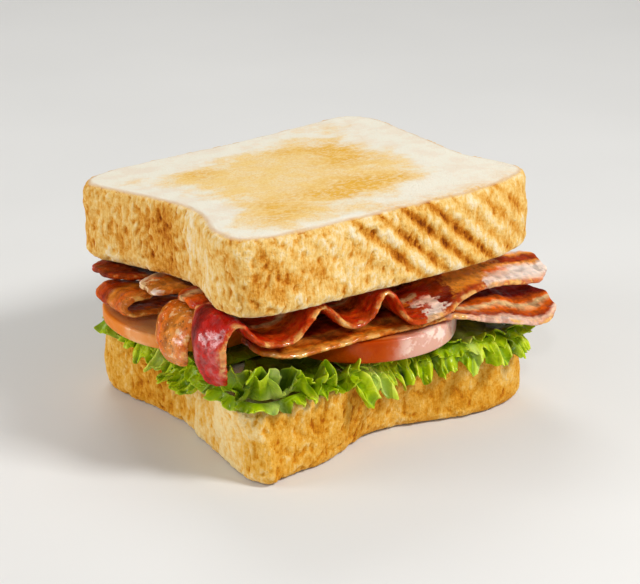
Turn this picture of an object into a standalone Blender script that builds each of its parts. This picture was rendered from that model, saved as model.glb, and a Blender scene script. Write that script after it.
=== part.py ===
"""Bacon, lettuce and tomato sandwich on thick toast.

Metres, +Z up. The crown edge of both slices faces -Y and the flat base edge faces +Y.
The origin is the middle of the bottom slice's underside.
Lengths below are in millimetres and are scaled by MM when a mesh is made.
"""

import bpy
import bmesh
from math import atan2, ceil, cos, exp, pi, radians, sin
from mathutils import Vector, noise

MM = 0.001

# Toast: outline of a tin loaf, clockwise from the middle of the base edge
OUTLINE = [
    (0, 53), (29, 54), (49, 55.5), (57.5, 50), (59.5, 39), (57, 16.5), (55, -2.5),
    (54, -15), (56.5, -26), (59, -36), (55.5, -44), (46, -49), (29, -52.5), (2, -53),
    (-27, -53), (-47, -53), (-59, -48), (-61, -36), (-58, -26), (-53.5, -13.5),
    (-53.5, 0.5), (-57, 19), (-61, 39), (-57.5, 49), (-46, 53.5), (-28, 54),
]
TOAST_THICKNESS = 25.6
TOAST_EDGE = 3.0
CROWN_SPACING = 2.5
SIDE_SPACING = 3.7
BASE_SPACING = 5.4

# Bottom slice: a little smaller, with a dip in the crown
BOTTOM_SCALE = 0.968
BOTTOM_SHIFT = (0.6, 0.8)
CROWN_DIP = 8.3
CROWN_DIP_AT = 9
CROWN_DIP_WIDTH = 24

# Its foot is set in or out against its upper edge: place, shift, size of the area
FOOT_SHIFTS = [
    ((-57, -50), (3.0, -6.5), 7.5), ((-61, -35), (4.0, 0.0), 11.0),
    ((-54, -12), (-2.2, 0.0), 9.0), ((-8, -48), (0.0, 6.0), 15.0),
]

# Top slice: turned a little, and leaning on the bacon towards the crown
TOP_TURN = 2.5
TOP_SHIFT = (-1.4, -0.3)
UNDER_HEIGHT = 53.1
UNDER_SLOPE_X = -0.0069
UNDER_SLOPE_Y = -0.0671
UNDER_TWIST = 0.000282
UNDER_BOW = -0.000125

# Crust relief
RIDGE_DEPTH = 1.3
RIDGE_PITCH = 9.7
RIDGE_LEAN = 1.12
RIDGE_START = 0.6
RIDGE_SHARE_BELOW = 0.3
LUMP_DEPTH = 1.1
LUMP_SIZE = 9.0
WRINKLE_DEPTH = 0.6
WRINKLE_PITCH = 6.0

# Tomato slices: centre, radius, thickness, height of the underside, slopes
TOMATO_RIM = 1.2
TOMATO_RIGHT = dict(centre=(2.7, -22.6), radius=32.0, thick=7.5, low=31.8, slope=(0.0, 0.0))
TOMATO_LEFT = dict(centre=(-42.1, 15.6), radius=26.4, thick=4.6, low=31.1, slope=(-0.06, 0.055))

# Lettuce
LEAF_THICKNESS = 0.7
LEAF_FLOOR = 26.35
LEAF_LAYER = 1.15
LEAF_WAVE = 26.0
LEAF_SWELL = 0.7
LEAF_SWELL_UNDER_TOMATO = 2.7
LEAF_SWELL_BESIDE_TOMATO = 9.0

# Bacon
RASHER_THICKNESS = 2.2
EDGE_WAVE = 0.7

COLOURS = {
    "toast": (0.72, 0.44, 0.16), "lettuce": (0.24, 0.46, 0.04),
    "tomato": (0.55, 0.10, 0.02), "bacon": (0.36, 0.06, 0.025),
}


def clear_scene():
    for ob in list(bpy.data.objects):
        bpy.data.objects.remove(ob, do_unlink=True)


def material(name, kind, rough):
    mat = bpy.data.materials.new(name)
    mat.use_nodes = True
    shader = mat.node_tree.nodes["Principled BSDF"]
    shader.inputs["Base Color"].default_value = (*COLOURS[kind], 1.0)
    shader.inputs["Roughness"].default_value = rough
    mat.diffuse_color = (*COLOURS[kind], 1.0)
    return mat


def add_object(name, bm, kind, rough=0.5):
    """Scale to metres, face outwards and link as one smooth-shaded body."""
    bmesh.ops.scale(bm, vec=(MM, MM, MM), verts=bm.verts)
    bmesh.ops.recalc_face_normals(bm, faces=bm.faces)
    for face in bm.faces:
        face.smooth = len(face.verts) < 5
    mesh = bpy.data.meshes.new(name)
    bm.to_mesh(mesh)
    bm.free()
    mesh.materials.append(material(name + "_material", kind, rough))
    ob = bpy.data.objects.new(name, mesh)
    bpy.context.scene.collection.objects.link(ob)
    return ob


def clamp(t):
    return max(0.0, min(1.0, t))


def ease(t):
    t = clamp(t)
    return t * t * (3 - 2 * t)


def spline(points, closed, count):
    """Catmull-Rom curve through the points, count steps between neighbours."""
    pts = [Vector(p) for p in points]
    if not closed:
        pts = [2 * pts[0] - pts[1]] + pts + [2 * pts[-1] - pts[-2]]
    spans = range(len(pts)) if closed else range(1, len(pts) - 2)
    out = []
    for i in spans:
        a, b, c, d = pts[i - 1], pts[i], pts[(i + 1) % len(pts)], pts[(i + 2) % len(pts)]
        for k in range(count):
            t = k / count
            out.append(0.5 * (2 * b + (c - a) * t + (2 * a - 5 * b + 4 * c - d) * t * t
                              + (3 * b - a - 3 * c + d) * t ** 3))
    if not closed:
        out.append(pts[-2])
    return out


def walk(points, spacing):
    """Pick points of a closed curve so that each step is about spacing(point)."""
    total, marks = 0.0, []
    for a, b in zip(points, points[1:] + points[:1]):
        marks.append(total)
        total += (b - a).length / spacing(a)
    count = ceil(total)
    picked, k = [], 0
    for i in range(count):
        want = total * i / count
        while k + 1 < len(marks) and marks[k + 1] <= want:
            k += 1
        end = marks[k + 1] if k + 1 < len(marks) else total
        part = (want - marks[k]) / (end - marks[k])
        picked.append(points[k].lerp(points[(k + 1) % len(points)], part))
    return picked


def outward(points):
    """Unit normals of a closed clockwise outline, pointing out of it."""
    count = len(points)
    along = [points[(i + 1) % count] - points[i - 1] for i in range(count)]
    return [Vector((-a.y, a.x)).normalized() for a in along]


def loft(bm, rings, close_first=None, close_last=None):
    """Join rings of equal length; a close point makes a fan, otherwise one flat face."""
    rows = [[bm.verts.new(p) for p in ring] for ring in rings]
    count = len(rows[0])
    for low, high in zip(rows, rows[1:]):
        for i in range(count):
            j = (i + 1) % count
            bm.faces.new((low[i], low[j], high[j], high[i]))
    for row, point in ((rows[0], close_first), (rows[-1], close_last)):
        if point is None:
            bm.faces.new(row)
        else:
            middle = bm.verts.new(point)
            for i in range(count):
                bm.faces.new((row[i], row[(i + 1) % count], middle))
    return rows


# Toast

def toast_spacing(p):
    if p.y < -40:
        return CROWN_SPACING
    return BASE_SPACING if p.y > 44 else SIDE_SPACING


FINE_OUTLINE = spline(OUTLINE, True, 12)
SLICE_OUTLINE = walk(FINE_OUTLINE, toast_spacing)
SLICE_NORMALS = outward(SLICE_OUTLINE)


def ridge(x, z):
    """Broad slanting ridges with narrow furrows between, on the right of the crown."""
    place = x + RIDGE_LEAN * z
    wave = sin(2 * pi * (place - RIDGE_START) / RIDGE_PITCH)
    strength = (0.2 + 0.8 * ease(place / 7)) * (1 - 0.55 * ease((place - 40) / 6))
    return strength * (0.35 * wave if wave > 0 else wave) * (1 - 0.6 * ease((z - 21) / 4))


def crust_relief(p, z, seed, ridged):
    """How far the crust stands out: slanting ridges, wrinkles at the waist, lumps."""
    angle = atan2(p.y, p.x)
    lump = noise.noise(Vector((p.x / LUMP_SIZE, p.y / LUMP_SIZE, z / LUMP_SIZE + seed)))
    out = LUMP_DEPTH * lump
    crown = ease((-p.y - 40) / 8)
    out += ridged * crown * RIDGE_DEPTH * ridge(p.x, z)
    waist = ease(1 - abs(p.y + 12) / 26) * (1 - crown)
    out += waist * WRINKLE_DEPTH * sin(2 * pi * (p.y + 1.2 * sin(z / 4 + angle)) / WRINKLE_PITCH)
    return out


def edge_profile(thick, between):
    """(inset, height, relief) from the underside's rim up to the top face's rim."""
    r = TOAST_EDGE
    rows = [(r, 0.0, 0.0), (0.29 * r, 0.29 * r, 0.4), (0.0, r, 0.8)]
    for k in range(1, between + 1):
        rows.append((0.0, r + (thick - 2 * r) * k / (between + 1), 1.0))
    rows += [(0.0, thick - r, 0.8), (0.29 * r, thick - 0.29 * r, 0.4), (r, thick, 0.0)]
    return rows


def under(x, y):
    """Height of the top slice's underside."""
    flat = UNDER_HEIGHT + UNDER_SLOPE_X * x + UNDER_SLOPE_Y * y
    return flat + UNDER_TWIST * x * y + UNDER_BOW * y * y


def place_top(p):
    turn = radians(TOP_TURN)
    x = p.x * cos(turn) - p.y * sin(turn) + TOP_SHIFT[0]
    y = p.x * sin(turn) + p.y * cos(turn) + TOP_SHIFT[1]
    return x, y


def place_bottom(p, z=TOAST_THICKNESS):
    """Where a point of the outline lies in plan at height z of the bottom slice."""
    dip = CROWN_DIP * exp(-((p.x - CROWN_DIP_AT) / CROWN_DIP_WIDTH) ** 2)
    x, y = p.x, p.y + dip * ease((-p.y - 30) / 16)
    for place, shift, size in FOOT_SHIFTS:
        near = exp(-((p - Vector(place)).length / size) ** 2) * (1 - z / TOAST_THICKNESS)
        x += shift[0] * near
        y += shift[1] * near
    return x * BOTTOM_SCALE + BOTTOM_SHIFT[0], y * BOTTOM_SCALE + BOTTOM_SHIFT[1]


def face_ring(rim, share, height):
    middle = sum(rim, Vector((0, 0, 0))) / len(rim)
    ring = []
    for p in rim:
        q = middle.lerp(p, share)
        ring.append(Vector((q.x, q.y, height(q.x, q.y))))
    return ring


def make_top_toast():
    rings = []
    for inset, z, relief in edge_profile(TOAST_THICKNESS, 4):
        ring = []
        for p, n in zip(SLICE_OUTLINE, SLICE_NORMALS):
            q = p + n * (relief * crust_relief(p, z, 3.1, 1.0) - inset)
            x, y = place_top(q)
            lean = z * UNDER_SLOPE_Y
            ring.append(Vector((x - UNDER_SLOPE_X * z, y - lean, under(x, y) + z)))
        rings.append(ring)

    def high(x, y):
        wave = 0.5 * noise.noise(Vector((x / 22, y / 22, 5)))
        y_low = y + UNDER_SLOPE_Y * TOAST_THICKNESS
        return under(x, y_low) + TOAST_THICKNESS + wave

    rings.append(face_ring(rings[-1], 0.8, high))
    rings.append(face_ring(rings[-1], 0.5, high))
    bm = bmesh.new()
    loft(bm, rings, (0, 0, under(0, 0)), (0, 1.5, high(0, 1.5)))
    return add_object("top_toast", bm, "toast", 0.8)


def make_bottom_toast():
    rings = []
    for inset, z, relief in edge_profile(TOAST_THICKNESS, 2):
        ring = []
        for p, n in zip(SLICE_OUTLINE, SLICE_NORMALS):
            q = p + n * (relief * crust_relief(p, z, 8.7, RIDGE_SHARE_BELOW) - inset)
            x, y = place_bottom(q, z)
            ring.append(Vector((x, y, z)))
        rings.append(ring)
    rings.append(face_ring(rings[-1], 0.5, lambda x, y: TOAST_THICKNESS))
    bm = bmesh.new()
    loft(bm, rings, None, (0, 0, TOAST_THICKNESS))
    return add_object("bottom_toast", bm, "toast", 0.8)


# Tomato

def make_tomato(name, centre, radius, thick, low, slope):
    """A round slice with a softened skin edge, a little out of true."""
    sides = 32
    rows = [(TOMATO_RIM, 0), (0.3 * TOMATO_RIM, 0.3 * TOMATO_RIM), (0, thick / 2),
            (0.3 * TOMATO_RIM, thick - 0.3 * TOMATO_RIM), (TOMATO_RIM, thick)]
    rings = []
    for inset, z in rows:
        ring = []
        for k in range(sides):
            a = 2 * pi * k / sides
            r = radius * (1 + 0.008 * sin(5 * a + 1) + 0.006 * sin(3 * a)) - inset
            dx, dy = r * cos(a), r * sin(a)
            tilt = slope[0] * dx + slope[1] * dy
            ring.append(Vector((centre[0] + dx, centre[1] + dy, low + tilt + z)))
        rings.append(ring)
    bm = bmesh.new()
    loft(bm, rings)
    return add_object(name, bm, "tomato", 0.25)


# Lettuce

BREAD_EDGE = [Vector(place_bottom(p)) for p in walk(FINE_OUTLINE, lambda p: 1.5)]
BREAD_OUT = outward(BREAD_EDGE)
BREAD_STEP = 1.5


def beyond_bread(x, y):
    """Signed distance outside the bottom slice, its outward normal, place along the rim."""
    here = Vector((x, y))
    k = min(range(len(BREAD_EDGE)), key=lambda i: (BREAD_EDGE[i] - here).length_squared)
    gap = here - BREAD_EDGE[k]
    along = Vector((BREAD_OUT[k].y, -BREAD_OUT[k].x))
    return gap.dot(BREAD_OUT[k]), BREAD_OUT[k], k * BREAD_STEP + gap.dot(along)


def outside(tomato, x, y):
    return (Vector((x, y)) - Vector(tomato["centre"])).length - tomato["radius"]


def leaf_body(x, y):
    """Gentle waves of a leaf: pressed flat by the tomato, fluffed up beside it."""
    right, left = outside(TOMATO_RIGHT, x, y), outside(TOMATO_LEFT, x, y)
    wave = 0.5 + 0.5 * sin(2 * pi * x / LEAF_WAVE + 0.6) * cos(2 * pi * y / (LEAF_WAVE * 1.3))
    swell = LEAF_SWELL + LEAF_SWELL_UNDER_TOMATO * ease((2 - right) / 14)
    free = ease((right - 3) / 13) * ease((left - 3) / 13) * ease((x + 5) / 20) * ease((y + 34) / 24)
    return LEAF_FLOOR + swell * wave + LEAF_SWELL_BESIDE_TOMATO * free * (0.45 + 0.55 * wave)


def make_leaf(name, plan, columns, rows, level, reach, lift, frill, pitch, phase):
    """A sheet over the bread. plan(u, v) places it from above; its rim goes reach
    beyond the bread, is raised or hung by lift, and is frilled in and out and up."""
    bm = bmesh.new()
    grid = []
    for i in range(columns + 1):
        line = []
        for v in rows:
            flat = Vector(plan(i / columns, v))
            e, n, s = beyond_bread(flat.x, flat.y)
            rim = ease((e + 7) / (7 + reach))
            body = leaf_body(flat.x, flat.y) + level * LEAF_LAYER
            turn = 2 * pi * s / pitch + phase + 0.8 * sin(s / 17)
            out = flat + n * (frill[0] * rim * sin(turn))
            rise = frill[1] * rim * cos(turn + 0.9)
            z = body * (1 - rim) + rim * (LEAF_FLOOR + 2.2 + lift(flat.x, e)) + rise
            if e + frill[0] * rim * sin(turn) < 1.5:
                z = max(z, LEAF_FLOOR)
            line.append(bm.verts.new((out.x, out.y, z)))
        grid.append(line)
    for left, right in zip(grid, grid[1:]):
        for j in range(len(rows) - 1):
            bm.faces.new((left[j], right[j], right[j + 1], left[j + 1]))
    bmesh.ops.triangulate(bm, faces=bm.faces)
    ob = add_object(name, bm, "lettuce", 0.45)
    shell = ob.modifiers.new("Leaf thickness", "SOLIDIFY")
    shell.thickness = LEAF_THICKNESS * MM
    shell.offset = 0.0
    return ob


def bread_side(x, front):
    """Where the bottom slice's front or back edge crosses x."""
    x = max(-56.0, min(56.0, x))
    near = [p.y for p in BREAD_EDGE if abs(p.x - x) < 2.0 and (p.y < 0) == front]
    return min(near) if front else max(near)


def between(start, end, v):
    return start[0] + (end[0] - start[0]) * v, start[1] + (end[1] - start[1]) * v


def make_lettuce():
    both_rims = [0, 0.024, 0.05, 0.08, 0.12, 0.3, 0.5, 0.7, 0.88, 0.92, 0.95, 0.976, 1]

    def right_plan(u, v):
        x = -17 + 77 * u
        trim = 8 * ease((u - 0.86) / 0.14)
        start = (x, bread_side(x, True) - 5.5 + trim)
        return between(start, (x, bread_side(x, False) + 5.0 - trim), v)

    def hang(x, e):
        return -1.5 - 6.5 * ease(e / 5)

    make_leaf("lettuce_right", right_plan, 38, both_rims, 1, 5.5, hang, (2.4, 1.8), 9.5, 0.4)

    def front_plan(u, v):
        x = -57.5 + 40 * u
        far = -36 + 18.5 * u
        start = (x, bread_side(x, True) - 5.0)
        place = between(start, (far, bread_side(far, False) + 5.0), v)
        return x + (far - x) * ease((v - 0.1) / 0.22), place[1]

    def stand(x, e):
        corner = ease((-38 - x) / 10)
        return (5.0 + 2.5 * ease((e - 1) / 4)) * ease((-14 - x) / 20) + 2.5 * corner - 1.0

    make_leaf("lettuce_front", front_plan, 22, both_rims, 0, 5.5, stand, (2.6, 4.6), 10.5, 2.0)

    def left_plan(u, v):
        y = -18.5 + 61.5 * u
        return between((-60.8 + 1.5 * ease(2 * u) + ease((u - 0.7) / 0.3), y), (-26, y), v)

    one_rim = [0, 0.05, 0.11, 0.18, 0.28, 0.42, 0.7, 1]
    make_leaf("lettuce_left", left_plan, 25, one_rim, 1, 5.5, hang, (1.8, 1.6), 9.5, 1.0)


# Bacon

def make_rasher(name, near, far, steps=2, ends=(0.62, 0.62), bows=()):
    """A rasher between two edge curves; lean and fat bands run along it.

    ends: share of the width left at the two ends, whose corners are rounded off.
    bows: how far the middle bulges out at the first stations of the edge curves.
    """
    near_edge = spline(near, False, steps)
    far_edge = spline(far, False, steps)
    t = RASHER_THICKNESS / 2
    section = [(0.0, 0.0), (0.045, t), (0.34, 0.8 * t), (0.66, 1.1 * t), (0.955, t),
               (1.0, 0.0), (0.955, -t), (0.66, -0.9 * t), (0.34, -1.0 * t), (0.045, -t)]
    count = len(near_edge)
    rings = []
    for i in range(count):
        a, b = near_edge[i], far_edge[i]
        along = (near_edge[min(i + 1, count - 1)] - near_edge[max(i - 1, 0)]
                 + far_edge[min(i + 1, count - 1)] - far_edge[max(i - 1, 0)])
        across = (b - a).normalized()
        normal = along.cross(across).normalized()
        shift = across * (EDGE_WAVE * noise.noise(Vector((i * 0.45, len(name), 2))))
        full = min(ends[0] + (1 - ends[0]) * (i / 2) ** 0.6 if i < 2 else 1.0,
                   ends[1] + (1 - ends[1]) * ((count - 1 - i) / 2) ** 0.6 if i > count - 3 else 1.0)
        middle = a.lerp(b, 0.5) + shift
        station = i / steps
        bow = 0.0
        if station < len(bows) - 1:
            k = int(station)
            bow = bows[k] + (bows[k + 1] - bows[k]) * (station - k)
        rings.append([middle + (b - a) * ((w - 0.5) * full)
                      + normal * (h + bow * 4 * w * (1 - w)) for w, h in section])
    bm = bmesh.new()
    loft(bm, rings)
    return add_object(name, bm, "bacon", 0.3)


def make_bacon():
    # Front rasher: hangs over the near corner, then folds up and down along the crown
    near = [(-60.5, -47.5, 34), (-62.4, -48.5, 40), (-62.4, -48.5, 48), (-60, -48.5, 53.4),
            (-56.6, -50, 54.6), (-53.6, -52, 50), (-48.5, -53, 47), (-41, -53, 46.8),
            (-36, -53, 50.5), (-32, -52, 54), (-28.5, -51, 54.8), (-25.3, -52, 52),
            (-22, -53, 48), (-17.5, -53, 46.4), (-12.5, -53, 47.6), (-8.5, -52, 52.5),
            (-4.8, -51, 54.3), (-2, -53, 51), (-0.5, -55, 46.5), (2.5, -56, 43.6),
            (9, -56, 43.7), (17, -55, 44.5), (26, -50, 45.2), (36, -47, 45.4),
            (50, -46, 43.4), (60, -45.5, 42), (67, -43, 41.4)]
    far = []
    for i, (x, y, z) in enumerate(near):
        back = 18 + 6 * ease(i / 5) - 6.5 * ease((i - 19) / 4)
        rise = 0.0
        if i < 4:
            x, rise = x - 0.8, 1.0
        if i > 19:
            rise = 5.0 * ease((i - 19) / 4)
        top = under(x, y + back) - 2.0
        mid = z + (49.5 - z) * 0.25 * ease((i - 3) / 2) * (1 - ease((i - 19) / 3))
        far.append((x + 0.5, y + back, min(mid + rise, top)))
    make_rasher("bacon_front", near, far, 2, (0.7, 0.5), (2.4, 3.6, 3.2, 1.2, 0.0))

    # Right rasher: flat under the folds, its right end drooping past the tomato
    near = [(-50, -51, 43.2), (-42, -51, 41.2), (-30, -51.5, 40.8), (-18, -51.5, 41.0),
            (-8, -51.5, 40.7), (4, -52, 40.7), (14, -53, 41.2), (22, -55, 41),
            (29, -56, 38.6), (40, -56, 35), (50, -55.8, 32), (57, -55, 31.5), (63, -52, 32.6)]
    far = [(x + 1, y + 22, max(z, 40.9) if x < 36 else z + 6.2) for x, y, z in near]
    far[-1] = (65, -38, 37)
    make_rasher("bacon_right", near, far)

    # Crisp rasher: comes out on the left side, arches and hangs over the crust
    near = [(-62.5, -27, 33.5), (-64, -27, 38), (-63.5, -26.8, 43.5), (-60.5, -26.5, 48),
            (-55, -26, 48.6), (-46, -26, 44), (-34, -26, 41), (-18, -26, 41), (0, -26, 40.9),
            (18, -26, 40.9), (34, -26, 41.4), (48, -26, 39), (60, -26, 36)]
    far = [(x, y + 20.5, z - (0.5 if x < -50 else 0)) for x, y, z in near]
    make_rasher("bacon_crisp", near, far, 2, (0.62, 0.62), (1.2, 2.4, 2.0, 0.6, 0.0))

    # Upper rashers, waved between the lower ones and the top slice
    def waved(left, right, y, width, phase, left_z, right_z, pitch=27.0):
        stations = []
        count = 12
        for i in range(count):
            x = left + (right - left) * i / (count - 1)
            roof = min(under(x, y), under(x, y + width)) - 1.7
            floor = 43.9
            wave = 0.5 + 0.5 * sin(2 * pi * x / pitch + phase)
            z = floor + (roof - floor) * wave
            into = ease((x - left) / 14)
            z = left_z * (1 - into) + z * into
            out = ease((x - (right - 14)) / 14)
            stations.append((x, y, z * (1 - out) + right_z * out))
        return stations, [(x, y + width, min(z, under(x, y + width) - 1.7)) for x, y, z in stations]

    near, far = waved(-59, 58, -27, 20, 0.3, 52.2, 43.5)
    make_rasher("bacon_upper", near, far)
    near, far = waved(-62, 61, -5.5, 19, 1.1, 50.0, 42.0)
    make_rasher("bacon_middle", near, far)
    near, far = waved(-66.5, 59, 15.5, 24, 1.8, 50.2, 41.5)
    make_rasher("bacon_back", near, far)

    # Low rasher: lies on the left tomato slice, its left end folded back over itself
    near = [(-55, 5, 45.8), (-61, 5, 46.6), (-66, 5, 46.5), (-68.8, 5, 44), (-66, 5, 41.4),
            (-60, 5, 40.8), (-50, 5, 39.8), (-40, 5, 39.4), (-28, 4.5, 39.4), (-14, 4, 40.4),
            (0, 4, 40.9), (14, 4, 40.9), (30, 4, 40.4), (44, 4, 38.0), (58, 4, 37.0)]
    far = [(x, y + 21.5, z - (1.0 if i < 6 else 0.4)) for i, (x, y, z) in enumerate(near)]
    make_rasher("bacon_low", near, far)


def main():
    clear_scene()
    make_bottom_toast()
    make_lettuce()
    make_tomato("tomato_right", **TOMATO_RIGHT)
    make_tomato("tomato_left", **TOMATO_LEFT)
    make_bacon()
    make_top_toast()


main()
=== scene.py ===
# %% [markdown]
# # A bacon, lettuce and tomato sandwich
# The solids of the sandwich are already there: two slices of toast, three lettuce
# leaves, two tomato slices and seven rashers. This lesson dresses them. Each solid is
# copied, its mesh is made fine enough to hold crumbs, frills and blisters, and it gets
# a finish that follows what the food is made of. The solids stay for the physics.

# %% Load the frame
from math import cos, pi, radians, sin

import bpy
import numpy as np
from mathutils import Matrix, Vector, noise


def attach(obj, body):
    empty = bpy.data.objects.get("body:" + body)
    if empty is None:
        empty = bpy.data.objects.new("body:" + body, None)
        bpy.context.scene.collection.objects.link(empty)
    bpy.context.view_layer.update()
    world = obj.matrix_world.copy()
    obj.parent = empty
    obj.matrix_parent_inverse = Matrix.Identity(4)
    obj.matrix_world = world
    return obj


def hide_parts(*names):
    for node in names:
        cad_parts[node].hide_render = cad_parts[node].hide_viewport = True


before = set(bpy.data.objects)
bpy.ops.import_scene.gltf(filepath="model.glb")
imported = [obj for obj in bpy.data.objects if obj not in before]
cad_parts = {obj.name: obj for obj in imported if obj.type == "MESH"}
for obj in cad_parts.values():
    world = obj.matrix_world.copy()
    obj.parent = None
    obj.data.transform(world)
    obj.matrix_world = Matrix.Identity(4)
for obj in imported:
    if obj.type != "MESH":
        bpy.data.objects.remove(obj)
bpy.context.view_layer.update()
MM = 0.001
noise.seed_set(7)  # noise_vector starts from the clock unless it is given a seed
print("solids to dress:", sorted(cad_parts))

# %% [markdown]
# ## Working with operators
# An operator acts on everything that is selected, and the imported solids are selected
# when they arrive. So the first helper clears the selection and picks one piece.

# %% Pick one piece
def pick(piece):
    """Leave only this piece selected and active, in object mode."""
    if bpy.context.object and bpy.context.object.mode != "OBJECT":
        bpy.ops.object.mode_set(mode="OBJECT")
    bpy.ops.object.select_all(action="DESELECT")
    piece.select_set(True)
    bpy.context.view_layer.objects.active = piece
    return piece


def apply_modifier(piece, kind, name, **settings):
    """Put a modifier on the piece, set it and apply it."""
    pick(piece)
    modifier = piece.modifiers.new(name, kind)
    for key, value in settings.items():
        setattr(modifier, key, value)
    bpy.ops.object.modifier_apply(modifier=modifier.name)


def points_of(piece):
    """The piece's vertices as an array in millimetres."""
    count = len(piece.data.vertices)
    flat = np.empty(count * 3)
    piece.data.vertices.foreach_get("co", flat)
    return flat.reshape(-1, 3) / MM


def move_points(piece, points):
    piece.data.vertices.foreach_set("co", (points * MM).ravel())
    piece.data.update()


def normals_of(piece):
    flat = np.empty(len(piece.data.vertices) * 3)
    piece.data.vertices.foreach_get("normal", flat)
    return flat.reshape(-1, 3)


def keep_value(piece, name, values):
    """Store one number per vertex, for the material to read."""
    layer = piece.data.attributes.new(name, "FLOAT", "POINT")
    layer.data.foreach_set("value", np.asarray(values, dtype=np.float32))


def ease(t):
    """A smooth step from 0 to 1."""
    t = np.clip(t, 0.0, 1.0)
    return t * t * (3 - 2 * t)


# %% [markdown]
# ## A fine copy of a solid
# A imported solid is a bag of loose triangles. A copy has its doubles merged first, and
# is then either rebuilt on an even grid (good for bread, which has no grain) or
# subdivided (good for leaves and rashers, which must stay thin).

# %% Copy a solid
def copy_solid(node, name):
    piece = bpy.data.objects.new(name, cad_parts[node].data.copy())
    bpy.context.scene.collection.objects.link(piece)
    piece.data.materials.clear()
    pick(piece)
    bpy.ops.object.mode_set(mode="EDIT")
    bpy.ops.mesh.select_all(action="SELECT")
    bpy.ops.mesh.remove_doubles(threshold=0.002 * MM)
    bpy.ops.object.mode_set(mode="OBJECT")
    bpy.ops.object.shade_smooth()
    return piece


def even_copy(node, name, grid):
    piece = copy_solid(node, name)
    apply_modifier(piece, "REMESH", "Even grid", mode="VOXEL", voxel_size=grid * MM)
    bpy.ops.object.shade_smooth()
    print(name, "vertices", len(piece.data.vertices))
    return piece


def subdivided_copy(node, name, levels):
    piece = copy_solid(node, name)
    apply_modifier(piece, "SUBSURF", "Soften", levels=levels, render_levels=levels)
    print(name, "vertices", len(piece.data.vertices))
    return piece


def finish_piece(piece, slot, material, *nodes):
    """Material, ride and stand-in in one place. The slot is not used."""
    piece.data.materials.clear()
    piece.data.materials.append(material)
    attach(piece, "root")
    if nodes:
        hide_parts(*nodes)


# %% [markdown]
# ## Node helpers
# A finish is a small graph. These helpers add one node with its values and links, so a
# material reads as a list of steps.

# %% Node helpers
def rgb(red, green, blue):
    """A colour as a screen shows it, 0 to 255, turned into the shader's linear one."""
    linear = []
    for c in (red, green, blue):
        c = c / 255
        linear.append(((c + 0.055) / 1.055) ** 2.4 if c > 0.04045 else c / 12.92)
    return (*linear, 1.0)


def feed(tree, node, inputs):
    """Link each socket among the inputs, and set each plain value."""
    for key, value in inputs.items():
        if isinstance(value, bpy.types.NodeSocket):
            tree.links.new(value, node.inputs[key])
        else:
            node.inputs[key].default_value = value


def add(tree, kind, inputs=None, **settings):
    node = tree.nodes.new(kind)
    for key, value in settings.items():
        setattr(node, key, value)
    feed(tree, node, inputs or {})
    return node


def mix(tree, factor, low, high, blend="MIX"):
    node = add(tree, "ShaderNodeMix", {0: factor, 6: low, 7: high}, data_type="RGBA",
               blend_type=blend)
    return node.outputs[2]


def maths(tree, operation, a, b=0.0, clamp=False):
    return add(tree, "ShaderNodeMath", {0: a, 1: b}, operation=operation,
               use_clamp=clamp).outputs[0]


def blend_of(tree, a, much_a, b, much_b):
    """One pattern times its share, plus another times its own."""
    return maths(tree, "ADD", maths(tree, "MULTIPLY", a, much_a), maths(tree, "MULTIPLY", b, much_b))


def band(tree, value, low, high, to_low=0.0, to_high=1.0):
    """Remap a value smoothly between two limits."""
    node = add(tree, "ShaderNodeMapRange", {"Value": value, "From Min": low, "From Max": high,
                                           "To Min": to_low, "To Max": to_high},
               interpolation_type="SMOOTHSTEP")
    return node.outputs[0]


def ramp(tree, value, stops):
    node = add(tree, "ShaderNodeValToRGB", {"Fac": value})
    colours = node.color_ramp.elements
    while len(colours) < len(stops):
        colours.new(1.0)
    for element, (place, colour) in zip(colours, stops):
        element.position = place
        element.color = colour
    return node.outputs["Color"]


def attribute(tree, name):
    return add(tree, "ShaderNodeAttribute", attribute_name=name).outputs["Fac"]


def new_material(name):
    material = bpy.data.materials.new(name)
    material.use_nodes = True
    tree = material.node_tree
    return material, tree, tree.nodes["Principled BSDF"]


def bump(tree, shader, height, distance, strength):
    node = add(tree, "ShaderNodeBump", {"Height": height, "Strength": strength,
                                        "Distance": distance * MM})
    tree.links.new(node.outputs[0], shader.inputs["Normal"])


# %% [markdown]
# ## Shared effects
# Mottling, which is patches and specks of tone, is used by bread, bacon, tomato and leaf
# alike. So it is a node group with named sockets, and every material sets its own sizes.

# %% Group: mottle
def build_group(name, inputs, outputs):
    group = bpy.data.node_groups.new(name, "ShaderNodeTree")
    for label, kind, value in inputs:
        socket = group.interface.new_socket(label, in_out="INPUT", socket_type=kind)
        if value is not None:
            socket.default_value = value
    for label, kind in outputs:
        group.interface.new_socket(label, in_out="OUTPUT", socket_type=kind)
    return group, group.nodes.new("NodeGroupInput"), group.nodes.new("NodeGroupOutput")


mottle_group, inside, outside = build_group(
    "Mottle",
    [("Vector", "NodeSocketVector", None), ("Patch Scale", "NodeSocketFloat", 60.0),
     ("Speck Scale", "NodeSocketFloat", 400.0), ("Softness", "NodeSocketFloat", 0.15)],
    [("Patches", "NodeSocketFloat"), ("Specks", "NodeSocketFloat")])
patches = add(mottle_group, "ShaderNodeTexNoise",
              {"Vector": inside.outputs["Vector"], "Scale": inside.outputs["Patch Scale"],
               "Detail": 4.0, "Roughness": 0.6})
specks = add(mottle_group, "ShaderNodeTexNoise",
             {"Vector": inside.outputs["Vector"], "Scale": inside.outputs["Speck Scale"],
              "Detail": 3.0, "Roughness": 0.7})
low_edge = maths(mottle_group, "SUBTRACT", 0.5, inside.outputs["Softness"])
high_edge = maths(mottle_group, "ADD", 0.5, inside.outputs["Softness"])
for source, label in ((patches, "Patches"), (specks, "Specks")):
    mottle_group.links.new(band(mottle_group, source.outputs["Fac"], low_edge, high_edge),
                           outside.inputs[label])


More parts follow.
